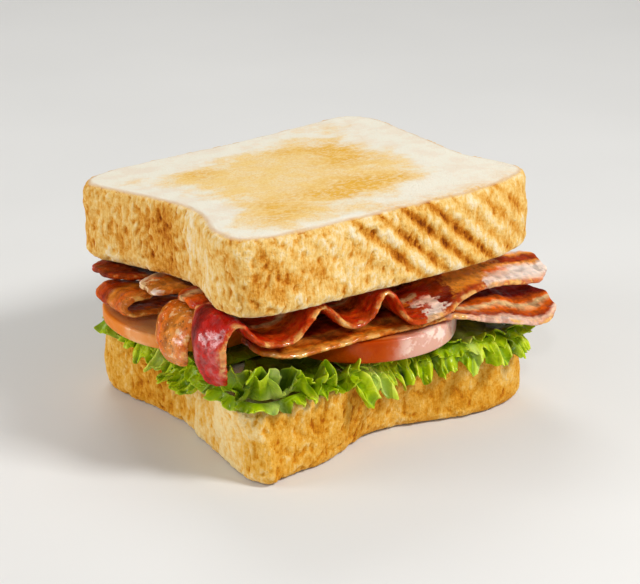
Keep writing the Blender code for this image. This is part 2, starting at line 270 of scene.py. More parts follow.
def mottle(tree, vector, patch_scale, speck_scale, softness):
    node = add(tree, "ShaderNodeGroup")
    node.node_tree = mottle_group
    feed(tree, node, {"Vector": vector, "Patch Scale": patch_scale, "Speck Scale": speck_scale,
                      "Softness": softness})
    return node.outputs["Patches"], node.outputs["Specks"]


def object_place(tree):
    return add(tree, "ShaderNodeTexCoord").outputs["Object"]


print("groups:", [g.name for g in bpy.data.node_groups])

# %% [markdown]
# ## Toast
# A toasted slice has a craggy golden crust round its sides and a flat, finely pored
# face, pale at the rim and browned in the middle. The crags are real relief, so the
# copy is rebuilt on an even grid and its points are pushed along their normals: broad
# crags, upright cracks and small pits on the crust, fine pores on the face. The height of
# each point over its surroundings is kept, because the crust is darker in its crevices
# and paler on its crests: partly its own colour, partly painted shade.

# %% Relief of the crust
TOAST_GRID = 0.66
LUMP_WIDTH, LUMP_TALL, LUMP_HEIGHT = 5.0, 6.0, 0.42
PORE_WIDTH, PORE_TALL, PORE_DEPTH = 1.9, 2.9, 0.55
CRACK_WIDTH, CRACK_TALL, CRACK_DEPTH = 3.6, 10.0, 0.30
CRUMB_WIDTH, CRUMB_HEIGHT = 1.5, 0.09
SAG_WIDTH, SAG_HEIGHT = 7.0, 0.16


def upright_place(p, wide, tall, shift):
    """Where noise is read, for a pattern of this width and height in millimetres."""
    return Vector((p[0] / wide, p[1] / wide, p[2] / tall + shift))


def crust_height(p, seed):
    """Height in millimetres of the craggy crust at p: lumps, torn pores and cracks."""
    lumps = noise.fractal(upright_place(p, LUMP_WIDTH, LUMP_TALL, seed), 0.8, 2.2, 3)
    pore = noise.noise(upright_place(p, PORE_WIDTH, PORE_TALL, seed + 7))
    crack = abs(noise.noise(upright_place(p, CRACK_WIDTH, CRACK_TALL, seed + 3)))
    return (LUMP_HEIGHT * lumps - PORE_DEPTH * float(ease((pore - 0.10) / 0.38))
            - CRACK_DEPTH * float(ease(1 - crack / 0.10)))


def face_height(p, seed):
    """Height of the fine pores and slow waves on a cut face."""
    crumb = noise.noise(Vector((p[0] / CRUMB_WIDTH, p[1] / CRUMB_WIDTH, seed)))
    wave = noise.noise(Vector((p[0] / SAG_WIDTH, p[1] / SAG_WIDTH, seed + 4)))
    return CRUMB_HEIGHT * crumb + SAG_HEIGHT * wave


def smooth_field(piece, values, rounds):
    """Average a per-vertex array over its neighbours, several times."""
    edges = np.empty(len(piece.data.edges) * 2, dtype=np.int64)
    piece.data.edges.foreach_get("vertices", edges)
    a, b = edges[0::2], edges[1::2]
    both, other = np.concatenate([a, b]), np.concatenate([b, a])
    count = np.bincount(both, minlength=len(values)).astype(float)
    for _ in range(rounds):
        total = np.stack([np.bincount(both, weights=values[other, k], minlength=len(values))
                          for k in range(values.shape[1])], 1)
        values = 0.5 * values + 0.5 * total / count[:, None]
    return values


def height_over(piece, points, rounds):
    """How far each point stands out of its smoothed surroundings, in millimetres."""
    broad = smooth_field(piece, points, rounds)
    return np.einsum("ij,ij->i", points - broad, normals_of(piece))


def dress_toast(node, name, seed):
    """The crags stay low where the crown has its slanting ridges, so that those show."""
    piece = even_copy(node, name, TOAST_GRID)
    points, normals = points_of(piece), normals_of(piece)
    upright = np.abs(smooth_field(piece, normals, 4)[:, 2])
    crust = 1 - ease((upright - 0.80) / 0.16)
    calm = 1 - 0.5 * ease((points[:, 0] + 10) / 30) * ease((-points[:, 1] - 30) / 15)
    shift = np.empty(len(points))
    for i, p in enumerate(points):
        side = crust[i]
        shift[i] = side * calm[i] * crust_height(p, seed) if side > 0.01 else 0.0
        if side < 0.99:
            shift[i] += (1 - side) * face_height(p, seed)
    points = points + normals * shift[:, None]
    points[:, 2] = np.maximum(points[:, 2], 0.0)
    move_points(piece, points)
    relief = height_over(piece, points, 12)
    rim = ease((upright - 0.62) / 0.2) * (1 - ease((upright - 0.93) / 0.06))
    keep_value(piece, "crust", crust)
    keep_value(piece, "relief", relief)
    keep_value(piece, "rim", rim)
    print(name, "relief", round(relief.min(), 2), "to", round(relief.max(), 2), "mm")
    return piece, points, crust


def spots_value(points, spots):
    """Sum of soft round spots: each has its place, size and strength."""
    total = np.zeros(len(points))
    for place, size, strength in spots:
        gap = points[:, :len(place)] - np.array(place)
        total += strength * np.exp(-(gap ** 2).sum(1) / size ** 2)
    return np.clip(total, -2, 1)


# %% Dress both slices
top_toast, top_points, _ = dress_toast("top_toast", "top_toast_crumb", 3.0)
bottom_toast, bottom_points, bottom_crust = dress_toast("bottom_toast", "bottom_toast_crumb",
                                                        11.0)


# %% [markdown]
# The grill has browned one broad patch in the middle of the face and left a pale margin,
# wide at the near corner and at the right. So a number is kept that is 1 in the middle
# of the patch and falls to 0 at its edge, from a few stations round the patch. A second
# number adds up soft spots where the face is browner, and each spot is written as its
# place in millimetres, its size and its strength.

# %% Where the face is toasted
PATCH_MIDDLE = (-5.0, 0.0)
PATCH_EDGE = [(-43, 26), (-20, 31), (5, 38), (27, 37), (31, 20), (30, 0), (28, -14), (21, -27),
              (0, -36), (-20, -41), (-40, -43), (-50, -34), (-36, -20), (-33, -8), (-38, 4),
              (-42, 14)]
BROWNED = [((20, 24), 9, 0.9), ((17, 6), 10, 0.8), ((4, -21), 10, 1.0), ((-12, -25), 9, 1.0),
           ((-29, -28), 9, 0.8), ((-30, 24), 6, 0.7), ((-38, -39), 6, 0.4), ((6, 28), 6, 0.5),
           ((18, -22), 6, 0.6), ((0, -50), 6, 0.6), ((16, -50), 7, 0.6), ((31, -50), 7, 0.8),
           ((48, -44), 7, 0.5)]


def patch_value(points):
    """1 in the middle of the toasted patch, 0 at its edge, less than 0 outside."""
    middle = np.array(PATCH_MIDDLE)
    edge = np.array(PATCH_EDGE, dtype=float) - middle
    turn = np.arctan2(edge[:, 1], edge[:, 0])
    order = np.argsort(turn)
    reach = np.hypot(edge[:, 0], edge[:, 1])[order]
    gap = points[:, :2] - middle
    here = np.interp(np.arctan2(gap[:, 1], gap[:, 0]), turn[order], reach, period=2 * pi)
    return np.clip(1 - np.hypot(gap[:, 0], gap[:, 1]) / here, -1, 1)


for slice_of_toast, points in ((top_toast, top_points), (bottom_toast, bottom_points)):
    keep_value(slice_of_toast, "inward", patch_value(points))
    keep_value(slice_of_toast, "browned", spots_value(points, BROWNED))
print("toasted patch kept")

# %% [markdown]
# The ridges that slant across the crown are golden on their crests and brown between,
# partly their colour and partly painted shade of the furrows, so the same slanting wave
# that the solid has is kept too. Places where the crust is scorched are kept as soft
# spots, and so is painted shade at the hollow of the top slice's waist on its left side;
# a strength below 0 is a pale place.

# %% Slanting ridges as a value
RIDGE_PITCH = 9.7
RIDGE_LEAN = 1.12
RIDGE_START = 1.5
RIDGE_CREST = 0.35
RIDGE_FADE_FROM = 41
TOP_SLICE_FOOT, TOP_SLICE_TILT = 56.3, 0.022
BOTTOM_RIDGES = 0.25
# Painted shade: the strong dark spot at (-55, 4) is the shade of the hollow at the waist of the left
# side; the others are scorched and pale places.
TOP_SCORCH_AND_SHADE = [((-55, 4), 6.0, 1.2), ((-58, 22), 6.0, 0.4), ((-61, 42), 8.0, 0.4),
                ((-60, -30), 8.0, -0.5), ((-56, -12), 5.0, -0.5), ((-56, -54), 5.0, 0.3),
                ((-24, -54), 9.0, -0.3), ((-14, -54), 9.0, -0.3), ((36, -54), 7.0, -0.3),
                ((57, 10), 6.0, 0.6), ((30, 56), 8.0, 0.7), ((-20, 57), 7.0, 0.6),
                ((56, -30), 6.0, 0.4)]
BOTTOM_SCORCHED = [((-58, -34), 14.0, -1.7), ((-54, -8), 10.0, -0.9), ((-56, 16), 6.0, 0.5),
                   ((-46, -52), 5.0, 0.4), ((-12, -50), 7.0, 0.9), ((2, -48), 6.0, 0.5),
                   ((27, -52), 6.0, 0.4), ((57, 10), 6.0, 0.6)]


def ridge_value(points, under):
    """Wave of the slanting ridges at the crown, -1 in a furrow, RIDGE_CREST on a crest.

    under is the height of the slice's foot.
    """
    crown = ease((-points[:, 1] - 40) / 8)
    place = points[:, 0] + RIDGE_LEAN * (points[:, 2] - under)
    wave = np.sin(2 * pi * (place - RIDGE_START) / RIDGE_PITCH)
    strength = (0.2 + 0.8 * ease(place / 7)) * (1 - 0.55 * ease((place - RIDGE_FADE_FROM) / 6))
    return crown * strength * np.where(wave > 0, RIDGE_CREST * wave, wave)


top_foot = TOP_SLICE_FOOT - TOP_SLICE_TILT * top_points[:, 0]
keep_value(top_toast, "ridge", ridge_value(top_points, top_foot))
keep_value(bottom_toast, "ridge", BOTTOM_RIDGES * ridge_value(bottom_points, 0.0))
keep_value(top_toast, "scorch_and_shade", spots_value(top_points, TOP_SCORCH_AND_SHADE))
keep_value(bottom_toast, "scorch_and_shade", spots_value(bottom_points, BOTTOM_SCORCHED))
print("ridges and scorched places kept")

# %% [markdown]
# One toast finish serves both slices: crust colours by relief, ridge, scorched spots and
# mottle, with painted shade in the crevices, in the furrows and at the hollow of the top
# slice's waist, and a pored face that goes from cream to gold to brown.

# %% Toast material
def centred(tree, value, gain):
    """Turn a 0 to 1 pattern into one around zero, times gain."""
    return maths(tree, "MULTIPLY", maths(tree, "SUBTRACT", value, 0.5), gain)


def crust_colour(tree, place, stops):
    """Crust by relief, ridge, spots and four patterns, the first three partly painted shade. Gives
    the colour and the grit.
    """
    patches, specks = mottle(tree, place, 95.0, 850.0, 0.22)
    tall = add(tree, "ShaderNodeMapping", {"Vector": place, "Scale": (1.0, 1.0, 0.3)})
    streaks, grit = mottle(tree, tall.outputs[0], 330.0, 1500.0, 0.2)
    # Painted shade, in part: the crust is darker in its crevices and paler on its crests, by relief.
    tone = maths(tree, "ADD", maths(tree, "MULTIPLY", attribute(tree, "relief"), 0.56), 0.56)
    # Painted shade, in part: the furrows of the slanting ridges are darker and their crests lighter.
    tone = maths(tree, "ADD", tone, maths(tree, "MULTIPLY", attribute(tree, "ridge"), 0.29))
    # Scorched spots darken the crust, and on the top slice's left side one of them is painted shade.
    tone = maths(tree, "SUBTRACT", tone, maths(tree, "MULTIPLY", attribute(tree, "scorch_and_shade"), 0.26))
    for pattern, gain in ((patches, 0.32), (streaks, 0.16), (specks, 0.18), (grit, 0.16)):
        tone = maths(tree, "ADD", tone, centred(tree, pattern, gain))
    return ramp(tree, tone, stops), grit


def face_colour(tree, place, pale, blush, gold, brown, rim_brown):
    """Cream outside the toasted patch, gold in it, brown in its spots, darker at the rim."""
    stretched = add(tree, "ShaderNodeMapping", {"Vector": place, "Scale": (0.9, 1.2, 1.0)})
    browned, fine = mottle(tree, stretched.outputs[0], 44.0, 560.0, 0.24)
    cloud, crumb = mottle(tree, place, 130.0, 1400.0, 0.2)
    spread = maths(tree, "ADD", centred(tree, browned, 0.45), centred(tree, cloud, 0.22))
    toasted = band(tree, maths(tree, "ADD", attribute(tree, "inward"), spread), -0.25, 0.30)
    face = mix(tree, band(tree, cloud, 0.2, 1.0, 0.0, 0.4), pale, blush)
    even_gold = maths(tree, "MULTIPLY", toasted, band(tree, cloud, 0.0, 1.0, 0.7, 1.0))
    face = mix(tree, even_gold, face, gold)
    browning = blend_of(tree, attribute(tree, "browned"), 0.8, toasted, 0.14)
    browning = maths(tree, "MULTIPLY", browning, band(tree, browned, 0.0, 0.8, 0.45, 1.25))
    browning = maths(tree, "MULTIPLY", browning, band(tree, fine, 0.1, 0.9, 0.3, 1.3), True)
    face = mix(tree, browning, face, brown)
    speckle = maths(tree, "ADD", maths(tree, "MULTIPLY", toasted, 0.34), 0.08)
    face = mix(tree, maths(tree, "MULTIPLY", speckle, band(tree, crumb, 0.4, 0.9)), face, brown)
    return mix(tree, maths(tree, "MULTIPLY", attribute(tree, "rim"), 0.55), face, rim_brown)


def toast_material(name, crust_stops, *face_colours):
    material, tree, shader = new_material(name)
    place = object_place(tree)
    crust, grit = crust_colour(tree, place, crust_stops)
    face = face_colour(tree, place, *face_colours)
    colour = mix(tree, attribute(tree, "crust"), face, crust)
    feed(tree, shader, {"Base Color": colour, "Roughness": 0.85, "Specular IOR Level": 0.12})
    cells = add(tree, "ShaderNodeTexVoronoi", {"Vector": place, "Scale": 900.0}, feature="F1")
    pores = band(tree, cells.outputs["Distance"], 0.0, 0.45)
    bump(tree, shader, blend_of(tree, pores, 0.6, grit, 0.5), 0.45, 0.7)
    return material


top_crust_stops = [(0.0, rgb(124, 54, 2)), (0.2, rgb(186, 104, 10)), (0.42, rgb(224, 156, 56)),
                   (0.66, rgb(244, 202, 118)), (1.0, rgb(253, 236, 200))]
bottom_crust_stops = [(0.0, rgb(110, 46, 0)), (0.22, rgb(180, 98, 6)), (0.45, rgb(220, 148, 30)),
                      (0.68, rgb(240, 184, 78)), (1.0, rgb(250, 222, 160))]
top_finish = toast_material("golden_toast", top_crust_stops, rgb(246, 240, 222),
                            rgb(240, 218, 192), rgb(250, 219, 150), rgb(238, 180, 66),
                            rgb(214, 164, 108))
bottom_finish = toast_material("deep_toast", bottom_crust_stops, rgb(240, 226, 196),
                               rgb(230, 200, 160), rgb(240, 196, 120), rgb(216, 150, 56),
                               rgb(190, 124, 50))
finish_piece(top_toast, "toast", top_finish, "top_toast")
finish_piece(bottom_toast, "toast", bottom_finish, "bottom_toast")
print("toast dressed")

# %% [markdown]
# ## Lettuce
# A frilly leaf is flat and pale where it is pressed between bread and tomato, and
# curls into tight dark green ruffles at its rim. The solid has the broad ruffles. The
# copy gets the small ones: waves that run along the edge of the bread and grow with the
# distance out from it, and a blistered crinkle everywhere. Both faces move alike, so the
# leaf stays a thin sheet.

# %% Where a leaf point is along the bread's edge
RING_POINTS = 300


def bread_outline():
    """The bottom slice's edge in plan: points, outward normals and distance along it."""
    height = bottom_points[:, 2]
    rim = bottom_points[(height > 8) & (height < 18) & (bottom_crust > 0.9)]
    angle = np.arctan2(rim[:, 1], rim[:, 0])
    ring = []
    for k in range(RING_POINTS):
        middle = -pi + 2 * pi * (k + 0.5) / RING_POINTS
        near = np.abs((angle - middle + pi) % (2 * pi) - pi) < 2.2 * pi / RING_POINTS
        ring.append(rim[near, :2].mean(0))
    ring = np.array(ring)
    for _ in range(4):
        ring = 0.5 * ring + 0.25 * (np.roll(ring, 1, 0) + np.roll(ring, -1, 0))
    along = np.roll(ring, -1, 0) - np.roll(ring, 1, 0)
    along /= np.linalg.norm(along, axis=1)[:, None]
    outward = np.stack([along[:, 1], -along[:, 0]], 1)
    walked = np.concatenate([[0], np.cumsum(np.linalg.norm(np.diff(ring, axis=0), axis=1))])
    return ring, outward, walked


edge_ring, edge_outward, edge_walked = bread_outline()
print("bread edge", round(edge_walked[-1]), "mm round")


def beside_bread(points):
    """Distance beyond the bread, outward direction and place along its edge."""
    nearest = np.empty(len(points), dtype=int)
    batch = 4000
    for start in range(0, len(points), batch):
        part = points[start:start + batch, :2]
        gaps = ((part[:, None, :] - edge_ring[None, :, :]) ** 2).sum(2)
        nearest[start:start + batch] = gaps.argmin(1)
    gap = points[:, :2] - edge_ring[nearest]
    out = edge_outward[nearest]
    along = np.stack([-out[:, 1], out[:, 0]], 1)
    beyond = (gap * out).sum(1)
    place = edge_walked[nearest] + (gap * along).sum(1)
    return beyond, out, place


# %% [markdown]
# A leaf has pale ribs, and painted shade in the hollows where it folds in. Each is written
# as a place near the bread's edge and a width, in millimetres.

# %% Pale ribs and painted shade in hollows
RIBS = [((-59, 6), 3.6), ((-48, -50), 2.0), ((-9, -47), 3.0), ((30, -48), 1.6),
        ((57, -20), 2.2), ((58, 22), 2.4), ((20, 55), 2.6), ((-36, 56), 2.4), ((-60, 30), 1.8)]
SHADE_STREAKS = [((-61, -51), 2.4), ((-44, -60), 2.8), ((-19, -58), 2.0), ((-64, -28), 2.0),
           ((14, -56), 1.6), ((44, -50), 1.8), ((62, 2), 2.0), ((40, 56), 2.2), ((-8, 58), 2.4)]


def streak_value(points, place, streaks):
    """Strongest along streaks that come out over the edge of the bread, up to 0.7."""
    total = np.zeros(len(points))
    for spot, width in streaks:
        _, _, at = beside_bread(np.array([[*spot, 0.0]]))
        total += np.exp(-((place - at[0] + 0.8 * np.sin(points[:, 2] / 2)) / width) ** 2)
    return np.clip(total, 0, 1) * 0.7


def keep_leaf_values(piece, points, beyond, place, reach, rib, rounds):
    """The four numbers that the lettuce finish reads: rim, rib, painted shade in hollows and fold.
    """
    keep_value(piece, "rim", ease((beyond + 2.0) / reach))
    keep_value(piece, "rib", rib * streak_value(points, place, RIBS))
    keep_value(piece, "painted_shade", streak_value(points, place, SHADE_STREAKS))
    keep_value(piece, "fold", height_over(piece, points, rounds))
    print(piece.name, "vertices", len(points))


# %% Small ruffles and crinkle
LEAF_LEVELS = 3
RUFFLE_LENGTH, CRIMP_LENGTH = 4.4, 1.9


def dress_leaf(node, name, seed, curl):
    """Ruffles and tighter crimps at the rim, crinkle all over."""
    piece = subdivided_copy(node, name, LEAF_LEVELS)
    points = points_of(piece)
    beyond, out, place = beside_bread(points)
    rim = ease((beyond + 1.5) / 6.0)
    wave = 2 * pi * place / RUFFLE_LENGTH + 1.4 * np.sin(place / 9 + seed)
    tight = 2 * pi * place / CRIMP_LENGTH + 2.0 * np.sin(place / 5 + seed)
    amount = curl * rim
    edge = ease((beyond - 2.5) / 3.5)
    points[:, :2] += out * (amount * np.sin(wave) + 0.45 * edge * np.sin(tight))[:, None]
    points[:, 2] += 0.9 * amount * np.cos(0.83 * wave + seed) + 0.35 * edge * np.cos(tight)
    crinkle = np.array([noise.noise_vector(Vector((p[0] / 3.2, p[1] / 3.2, p[2] / 6 + seed)))
                        for p in points])
    points += crinkle * (0.25 + 0.75 * rim)[:, None] * np.array([0.8, 0.8, 1.0])
    move_points(piece, points)
    keep_leaf_values(piece, points, beyond, place, 7.0, 0.7, 20)
    return piece


right_leaf = dress_leaf("lettuce_right", "lettuce_right_leaf", 1.0, 1.2)
front_leaf = dress_leaf("lettuce_front", "lettuce_front_leaf", 5.0, 1.2)
left_leaf = dress_leaf("lettuce_left", "lettuce_left_leaf", 9.0, 1.0)

# %% [markdown]
# A frilly leaf ends in many more folds than a sheet of this size has, because its edge
# grows faster than its middle. So each leaf gets frills of its own: a grid laid along
# the edge of the bread, one side of it rooted in the leaf, the other free. The free side
# swings out and in, up and down and to and fro along the edge, a little more with each
# row, which is how a real frill folds over itself.

# %% Model a frill
def ring_at(degrees):
    """The edge ring's point, outward direction and distance along it at an angle."""
    k = ((degrees + 180) / 360 * len(edge_ring) - 0.5) % len(edge_ring)
    a, b, t = int(k), (int(k) + 1) % len(edge_ring), k - int(k)
    step = np.linalg.norm(edge_ring[b] - edge_ring[a])
    return (edge_ring[a] * (1 - t) + edge_ring[b] * t,
            edge_outward[a] * (1 - t) + edge_outward[b] * t,
            edge_walked[a] + t * step)


FRILL_SPACING = 0.42
FRILL_ROWS = 11
LEAF_THICKNESS = 0.45
TOOTH_LENGTH = 1.7


def model_frill(name, start, end, root, tip, swing, pitch, seed):
    """A frill from one angle round the bread to another.

    root and tip are functions of the ring's point, giving distance out and height.
    """
    length = abs(ring_at(end)[2] - ring_at(start)[2])
    columns = max(12, int(length / FRILL_SPACING))
    bpy.ops.object.select_all(action="DESELECT")
    bpy.ops.mesh.primitive_grid_add(x_subdivisions=columns, y_subdivisions=FRILL_ROWS, size=1)
    piece = bpy.context.object
    piece.name = name
    grid = points_of(piece) * MM
    points = np.zeros((len(grid), 3))
    for i, (u, v) in enumerate(grid[:, :2] + 0.5):
        place, out, s = ring_at(start + (end - start) * u)
        along = np.array([-out[1], out[0]])
        low, high = root(place), tip(place)
        phase = 2 * pi * s / pitch + 1.6 * sin(s / 11 + seed) + 1.1 * sin(s / 4.1 + 2 * seed)
        size = swing * (0.88 + 0.8 * noise.noise(Vector((s / 6, seed, 1)))) * v ** 1.35
        teeth = v ** 3 * (0.9 * noise.noise(Vector((s / 0.8, seed, 5)))
                          + 0.5 * sin(2 * pi * s / TOOTH_LENGTH))
        ragged = teeth + v * 1.9 * noise.noise(Vector((s / 3.9, seed, 9)))
        beyond = low[0] + (high[0] - low[0]) * v + size * sin(phase) + ragged
        height = (low[1] + (high[1] - low[1]) * v ** 0.9
                  + 0.8 * size * cos(phase * 0.87 + seed) + ragged)
        slide = 0.35 * size * sin(2 * phase + 0.6)
        points[i, :2] = place + out * beyond + along * slide
        points[i, 2] = height
    move_points(piece, points)
    apply_modifier(piece, "SOLIDIFY", "Leaf thickness", thickness=LEAF_THICKNESS * MM,
                   offset=0.0)
    pick(piece)
    bpy.ops.object.mode_set(mode="EDIT")
    bpy.ops.mesh.select_all(action="SELECT")
    bpy.ops.mesh.normals_make_consistent(inside=False)
    bpy.ops.object.mode_set(mode="OBJECT")
    apply_modifier(piece, "SUBSURF", "Soften", levels=1, render_levels=1)
    bpy.ops.object.shade_smooth()
    points = points_of(piece)
    beyond, _, place = beside_bread(points)
    keep_leaf_values(piece, points, beyond, place, 6.0, 1.0, 14)
    return piece


# %% Frills of the right leaf
LEAF_TOP = 28.4


def right_tip_up(place):
    """The upper frill stays under the tomato and rises beside it."""
    back = float(ease((place[1] + 26) / 20))
    return 3.6, 30.0 + 4.8 * back


right_upper = model_frill("lettuce_right_upper_frill", -104, 98, lambda p: (-1.5, LEAF_TOP),
                          right_tip_up, 1.7, 4.6, 1.7)
right_lower = model_frill("lettuce_right_lower_frill", -107, 100, lambda p: (0.6, LEAF_TOP - 0.6),
                          lambda p: (4.4, 25.4), 1.7, 4.2, 4.1)

# %% Frills of the front and left leaves
def front_tip_up(place):
    """Stands tall at the near corner, lower towards the middle."""
    corner = float(ease((-34 - place[0]) / 14)) * float(ease((-38 - place[1]) / 6))
    return 3.2, 31.5 + 8.0 * corner


front_upper = model_frill("lettuce_front_upper_frill", -154, -106, lambda p: (-1.8, LEAF_TOP),
                          front_tip_up, 2.1, 5.6, 2.6)
front_lower = model_frill("lettuce_front_lower_frill", -153, -104, lambda p: (0.2, LEAF_TOP),
                          lambda p: (3.4, 26.2), 1.8, 4.8, 6.3)
front_back = model_frill("lettuce_front_back_frill", 101, 131, lambda p: (-1.0, LEAF_TOP),
                         lambda p: (3.6, 31.0), 2.0, 5.6, 3.3)
left_upper = model_frill("lettuce_left_upper_frill", 145, 206, lambda p: (-1.5, LEAF_TOP - 1),
                         lambda p: (2.6, 28.4), 1.2, 5.0, 5.2)
left_lower = model_frill("lettuce_left_lower_frill", 145, 205, lambda p: (0.4, LEAF_TOP - 1.4),
                         lambda p: (3.4, 23.8), 1.6, 5.2, 8.8)


# %% [markdown]
# The leaf is yellow green, darker at the low points of its folds and in its hollows as
# painted shade, with pale veins and ribs, and it lets a little light through. Its surface
# is waxy: a soft gloss broken by fine cells.

# %% Lettuce material
def lettuce_material(name, pale, fresh, deep, bright):
    material, tree, shader = new_material(name)
    place = object_place(tree)
    patches, specks = mottle(tree, place, 90.0, 520.0, 0.25)
    # Painted shade: the low points of the folds are darker and the crests lighter.
    tone = maths(tree, "ADD", maths(tree, "MULTIPLY", attribute(tree, "fold"), 0.75), 0.2)
    tone = maths(tree, "ADD", tone, maths(tree, "MULTIPLY", patches, 0.26))
    tone = maths(tree, "ADD", tone, maths(tree, "MULTIPLY", attribute(tree, "rim"), 0.24), True)
    green = ramp(tree, tone, [(0.0, deep), (0.42, fresh), (0.72, bright), (1.0, pale)])
    veins = add(tree, "ShaderNodeTexVoronoi", {"Vector": place, "Scale": 170.0},
                feature="DISTANCE_TO_EDGE")
    vein = band(tree, veins.outputs["Distance"], 0.09, 0.0)
    green = mix(tree, maths(tree, "MULTIPLY", vein, 0.12), green, pale)
    green = mix(tree, attribute(tree, "rib"), green, rgb(214, 232, 124))
    # Painted shade: the hollows where the leaf folds in are darkened.
    green = mix(tree, attribute(tree, "painted_shade"), green, deep)
    feed(tree, shader, {"Base Color": green, "Roughness": 0.4, "Specular IOR Level": 0.15,
                        "Coat Weight": band(tree, patches, 0.2, 0.7, 0.45, 0.0),
                        "Coat Roughness": 0.16, "Subsurface Weight": 0.15,
                        "Subsurface Radius": (0.5, 1.0, 0.1), "Subsurface Scale": 1.0 * MM})
    bump(tree, shader, blend_of(tree, vein, 0.7, specks, 0.4), 0.25, 0.7)
    return material


leaf_finish = lettuce_material("fresh_lettuce", rgb(226, 236, 84), rgb(128, 162, 0),
                               rgb(26, 54, 0), rgb(190, 212, 8))
for leaf, node in ((right_leaf, "lettuce_right"), (front_leaf, "lettuce_front"),
                   (left_leaf, "lettuce_left")):
    finish_piece(leaf, "lettuce", leaf_finish, node)
for frill in (right_upper, right_lower, front_upper, front_lower, front_back, left_upper,
              left_lower):
    finish_piece(frill, "lettuce", leaf_finish)
print("lettuce dressed")

# %% [markdown]
# ## Tomato
# Each slice is a disc with a thin skin, a firm outer wall and wet pulp. It is made from a
# cylinder: its faces are inset for the wall and pushed in a little for the
# pulp, and its rim is bevelled. The left slice leans, so its points are raised with
# their distance along the lean. How far out a point is and whether it lies in a seed
# chamber are kept for the finish.

# %% Model a tomato slice
SKIN_WIDTH, WALL_WIDTH, STEP_WIDTH, PULP_WIDTH = 1.2, 4.0, 1.0, 8.0
PULP_DEPTH, SKIN_BEVEL = 0.35, 0.9
CHAMBERS = 5


def model_tomato(name, centre, radius, thick, low, slope):
    """A slice at centre, in millimetres, from height low, leaning by slope."""
    bpy.ops.object.select_all(action="DESELECT")
    bpy.ops.mesh.primitive_cylinder_add(vertices=96, radius=radius * MM, depth=thick * MM,
                                        location=(centre[0] * MM, centre[1] * MM,
                                                  (low + thick / 2) * MM))
    piece = bpy.context.object
    piece.name = name
    bpy.ops.object.transform_apply(location=True, rotation=True, scale=True)
    bpy.ops.object.mode_set(mode="EDIT")
    bpy.ops.mesh.select_mode(type="FACE")
    bpy.ops.object.mode_set(mode="OBJECT")
    for face in piece.data.polygons:
        face.select = abs(face.normal.z) > 0.9
    bpy.ops.object.mode_set(mode="EDIT")
    bpy.ops.mesh.inset(thickness=SKIN_WIDTH * MM)
    bpy.ops.mesh.inset(thickness=WALL_WIDTH * MM)
    bpy.ops.mesh.inset(thickness=STEP_WIDTH * MM, depth=-PULP_DEPTH * MM)
    bpy.ops.mesh.inset(thickness=PULP_WIDTH * MM)
    bpy.ops.mesh.poke()
    bpy.ops.mesh.subdivide(number_cuts=2)
    bpy.ops.object.mode_set(mode="OBJECT")
    apply_modifier(piece, "BEVEL", "Soft skin edge", width=SKIN_BEVEL * MM, segments=3,
                   limit_method="ANGLE", angle_limit=radians(50))
    points = points_of(piece)
    dx, dy = points[:, 0] - centre[0], points[:, 1] - centre[1]
    angle, out = np.arctan2(dy, dx), np.hypot(dx, dy) / radius
    swell = 1 + out * (0.008 * np.sin(CHAMBERS * angle + 1) + 0.006 * np.sin(3 * angle))
    points[:, 0] = centre[0] + dx * swell
    points[:, 1] = centre[1] + dy * swell
    points[:, 2] += slope[0] * dx + slope[1] * dy
    move_points(piece, points)
    keep_value(piece, "out", out)
    lobe = ease((np.sin(CHAMBERS * angle + 0.5 * np.sin(2 * angle)) + 0.35) / 0.6)
    ring = ease((out - 0.22) / 0.12) * (1 - ease((out - 0.74) / 0.10))
    keep_value(piece, "chamber", lobe * ring)
    pick(piece)
    bpy.ops.object.shade_smooth_by_angle(angle=radians(40))
    print(name, "vertices", len(points))
    return piece


right_tomato = model_tomato("tomato_right_slice", (2.7, -22.6), 32.0, 7.5, 31.8, (0.0, 0.0))
left_tomato = model_tomato("tomato_left_slice", (-42.1, 15.6), 26.4, 4.6, 31.1, (-0.06, 0.055))


# %% [markdown]
# The skin is deeper in colour than the flesh, the chambers hold gel and pale seeds, and
# everything is wet. A painted highlight, pale glare on a part of the rim where the coat
# is also stronger, is kept as soft spots.

# %% Tomato material
STREAK, SEED = rgb(250, 190, 120), rgb(246, 206, 130)


def tomato_material(name, skin, flesh, light, glare_colour):
    material, tree, shader = new_material(name)
    place = object_place(tree)
    patches, specks = mottle(tree, place, 55.0, 300.0, 0.3)
    smears, drops = mottle(tree, place, 170.0, 700.0, 0.12)
    wall = band(tree, attribute(tree, "out"), 0.93, 0.975)
    inner = mix(tree, patches, flesh, light)
    inner = mix(tree, maths(tree, "MULTIPLY", specks, 0.25), inner, STREAK)
    gel = mix(tree, drops, skin, flesh)
    seeds = add(tree, "ShaderNodeTexVoronoi", {"Vector": place, "Scale": 300.0}, feature="F1")
    gel = mix(tree, band(tree, seeds.outputs["Distance"], 0.30, 0.22), gel, SEED)
    inner = mix(tree, maths(tree, "MULTIPLY", attribute(tree, "chamber"), 0.8), inner, gel)
    blush = mix(tree, maths(tree, "MULTIPLY", patches, 0.8), skin, flesh)
    colour = mix(tree, wall, inner, blush)
    # Painted highlight: pale glare is mixed into the colour at the spots, and the coat is stronger
    # there too.
    glare_and_wet = maths(tree, "MULTIPLY", attribute(tree, "glare_and_wet"),
                  band(tree, smears, 0.1, 0.7, 1.0, 0.5), True)
    colour = mix(tree, glare_and_wet, colour, glare_colour)
    wetness = maths(tree, "ADD", maths(tree, "MULTIPLY", glare_and_wet, 0.7),
                    band(tree, smears, 0.0, 0.6, 0.25, 0.03), True)
    feed(tree, shader, {"Base Color": colour, "Roughness": 0.3, "Specular IOR Level": 0.06,
                        "Coat Weight": wetness, "Coat Roughness": 0.08,
                        "Subsurface Weight": 0.2, "Subsurface Radius": (1.0, 0.3, 0.1),
                        "Subsurface Scale": 2.0 * MM})
    bump(tree, shader, blend_of(tree, specks, 1.0, drops, 0.5), 0.2, 0.4)
    return material
